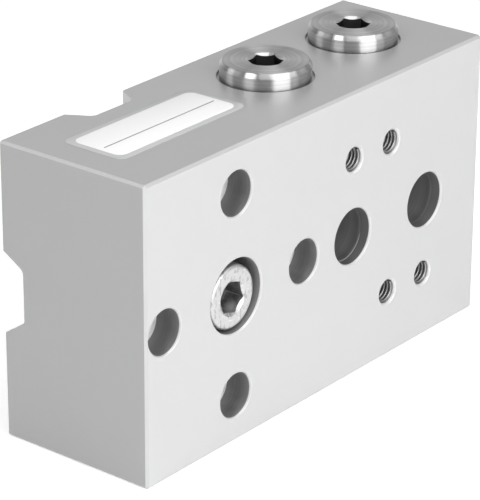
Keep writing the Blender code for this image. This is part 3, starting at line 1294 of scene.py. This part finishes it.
@dataclass
class Studio:
    """Pale floor, soft lamps, a plain dome and the camera.

    A stop of the dome is the sine of a height and the light's level there.
    """

    centre: Vector
    floor_height: float
    lens: float = 203.56
    sensor: float = 36.0
    near: float = 0.02
    far: float = 20.0
    camera_place: Triple = (-0.41888, -0.29768, 0.21717)
    heading: float = 0.895711
    pitch: float = 0.412032
    roll: float = 0.005164
    lamps: tuple[Lamp, ...] = (
        Lamp("key_front", -101.0, 32.0, 0.60, 0.46, 0.40, 1.24),
        Lamp("key_low", -101.0, 11.0, 0.60, 0.46, 0.20, 1.14),
        Lamp("key_right", -64.0, 30.0, 0.60, 0.20, 0.36, 0.34),
        Lamp("side_right", -28.0, 35.0, 0.60, 0.30, 0.36, 0.20),
        Lamp("over_camera", -141.0, 45.0, 0.60, 0.30, 0.16, 0.22),
        Lamp("fill_left", 174.0, 42.0, 0.70, 0.26, 0.34, 1.40),
        Lamp("back_low", 119.0, 20.0, 0.70, 0.26, 0.20, 0.33),
        Lamp("back_left", 122.0, 47.0, 0.70, 0.34, 0.34, 0.32),
        Lamp("back_right", 42.0, 32.0, 0.75, 0.85, 0.40, 0.61),
        Lamp("overhead", -60.0, 80.0, 0.70, 0.50, 0.50, 1.70),
    )
    dome: tuple[tuple[float, float], ...] = (
        (0.0, 0.34), (0.26, 0.34), (0.30, 0.03), (0.55, 0.04), (0.60, 0.08), (1.0, 0.08),
    )
    mirrored_level: float = 0.07
    floor_radius: float = 2.5
    floor_steps: int = 96
    floor_lift: float = 0.38
    plain_floor: float = 0.25
    white_floor: float = 0.90

    def build(self) -> None:
        """Builds the whole studio."""
        self.floor()
        for lamp in self.lamps:
            self.light(lamp)
        self.world()
        self.camera()
        bpy.context.scene.view_settings.view_transform = "Standard"

    def floor(self) -> None:
        """A wide round floor that looks white and keeps the shadow.

        Its own light, which only shows it, is low round the plate and full from white_floor on.
        """
        shape = Shape()
        middle = (self.centre.x, self.centre.y, self.floor_height)
        bmesh.ops.create_circle(
            shape.bm, cap_ends=True, segments=self.floor_steps, radius=self.floor_radius,
            matrix=Matrix.Translation(middle),
        )
        floor = shape.piece("studio_floor")
        g = ShaderGraph("studio_floor")
        where = g.place()
        mottle = g.noise(where, 6.0)
        g.set(Base_Color=g.mix(mottle, grey(0.88), grey(0.90)), Roughness=0.7)
        seen = g.node("ShaderNodeLightPath", output="Is Camera Ray")
        seen = seen + seen.sibling("Is Glossy Ray") + seen.sibling("Is Transmission Ray")
        across, along, _ = g.parts(where)
        far = from_axis(across, along).ramp(self.plain_floor, self.white_floor)
        lift = seen * (self.floor_lift + far * (1.0 - self.floor_lift))
        white = g.node("ShaderNodeEmission", inputs={"Color": WHITE, "Strength": lift})
        plain = Wire(g, g.surface.outputs["BSDF"])
        added = g.node("ShaderNodeAddShader", inputs={0: plain, 1: white})
        g.feed(g.tree.nodes["Material Output"].inputs["Surface"], added)
        dress(floor, g.material)

    def light(self, lamp: Lamp) -> None:
        """Adds a lamp that points at the plate.

        Args:
            lamp: Its place, size and power.
        """
        data = bpy.data.lights.new(lamp.name, "AREA")
        data.shape = "RECTANGLE"
        data.size = lamp.width
        data.size_y = lamp.height
        data.energy = lamp.watts
        made = bpy.data.objects.new(lamp.name, data)
        a, e = math.radians(lamp.azimuth), math.radians(lamp.elevation)
        away = Vector((math.cos(a) * math.cos(e), math.sin(a) * math.cos(e), math.sin(e)))
        made.location = self.centre + away * lamp.distance
        made.rotation_euler = away.to_track_quat("Z", "Y").to_euler()
        made.visible_camera = False
        bpy.context.scene.collection.objects.link(made)

    def world(self) -> None:
        """A dome that looks white, and lights the plate by a soft band of its own levels."""
        world = bpy.data.worlds.new("studio_world")
        bpy.context.scene.world = world
        world.use_nodes = True
        g = NodeGraph(world.node_tree)
        _, _, height = g.parts(g.node("ShaderNodeTexCoord", output="Generated"))
        level = g.node("ShaderNodeValToRGB", {"stops": self.dome}, {"Fac": height}, "Color")
        seen = g.node("ShaderNodeLightPath", output="Is Camera Ray")
        mirrored = seen.sibling("Is Glossy Ray") * self.mirrored_level
        seen = seen + seen.sibling("Is Transmission Ray") + mirrored
        background = g.tree.nodes["Background"]
        g.feed(background.inputs["Color"], WHITE)
        g.feed(background.inputs["Strength"], level.at_least(seen))

    def camera(self) -> None:
        """The camera at the photograph's viewing angle."""
        data = bpy.data.cameras.new("camera")
        data.sensor_width = self.sensor
        data.lens = self.lens
        data.clip_start = self.near
        data.clip_end = self.far
        made = bpy.data.objects.new("camera", data)
        turn = (
            Matrix.Rotation(-self.heading, 4, "Z")
            @ Matrix.Rotation(math.pi / 2 - self.pitch, 4, "X")
            @ Matrix.Rotation(self.roll, 4, "Z")
        )
        made.matrix_world = Matrix.Translation(self.camera_place) @ turn
        bpy.context.scene.collection.objects.link(made)
        bpy.context.scene.camera = made


def tapped_holes(plugs: list[ScrewPlug], block_low: Vector) -> list[TappedHole]:
    """The M5 holes of the valve face and the open G1/4 ends of the channels.

    Args:
        plugs: The plugs, which share their axes with the channels.
        block_low: The block's lowest corner.

    Returns:
        The tapped holes.
    """
    spots = {"top_stud": (-12, 16), "top": (0, 16), "bottom": (0, -16), "bottom_stud": (12, -16)}
    holes = [
        TappedHole(
            f"fixing_thread_{spot}", Vector((x * MM, block_low.y, z * MM)), Facing.FRONT,
            wall_radius=2.5 * MM, crest_radius=2.1 * MM, pitch=0.8 * MM, depth=9.2 * MM,
            start=0.74 * MM,
        )
        for spot, (x, z) in spots.items()
    ]
    for plug in plugs:
        mouth = Vector((plug.axis.x, plug.axis.y, block_low.z + 0.5 * MM))
        holes.append(
            TappedHole(
                f"channel_thread_{plug.side.value}", mouth, Facing.DOWN,
                wall_radius=6.58 * MM, crest_radius=5.75 * MM, pitch=plug.thread.pitch,
                depth=14.0 * MM, start=0.7 * MM,
            )
        )
    return holes


def clean_start() -> None:
    """Removes what a new Blender scene holds."""
    for old in list(bpy.data.objects):
        bpy.data.objects.remove(old, do_unlink=True)


def main() -> None:
    """Builds the plate around its frame, then the studio."""
    logging.basicConfig(level=logging.INFO, format="%(name)s: %(message)s")
    clean_start()
    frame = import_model()
    nodes = frame["nodes"]

    block_low, block_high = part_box("mounting_block")
    plugs = [ScrewPlug(*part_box(f"plug_{side.value}"), side=side) for side in Side]
    Block(nodes["mounting_block"], block_low, block_high, [plug.axis for plug in plugs]).build()
    for plug in plugs:
        plug.build()
        dress(nodes[f"seal_ring_{plug.side.value}"], SealRubber().material())
    ClampScrew(*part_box("clamp_screw")).build()
    for hole in tapped_holes(plugs, block_low):
        hole.build()
    Label(*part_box("label_film"), *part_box("label_panel"), top=block_high.z).build()
    Studio((block_low + block_high) / 2, block_low.z - FLOOR_GAP).build()


if __name__ == "__main__":
    main()
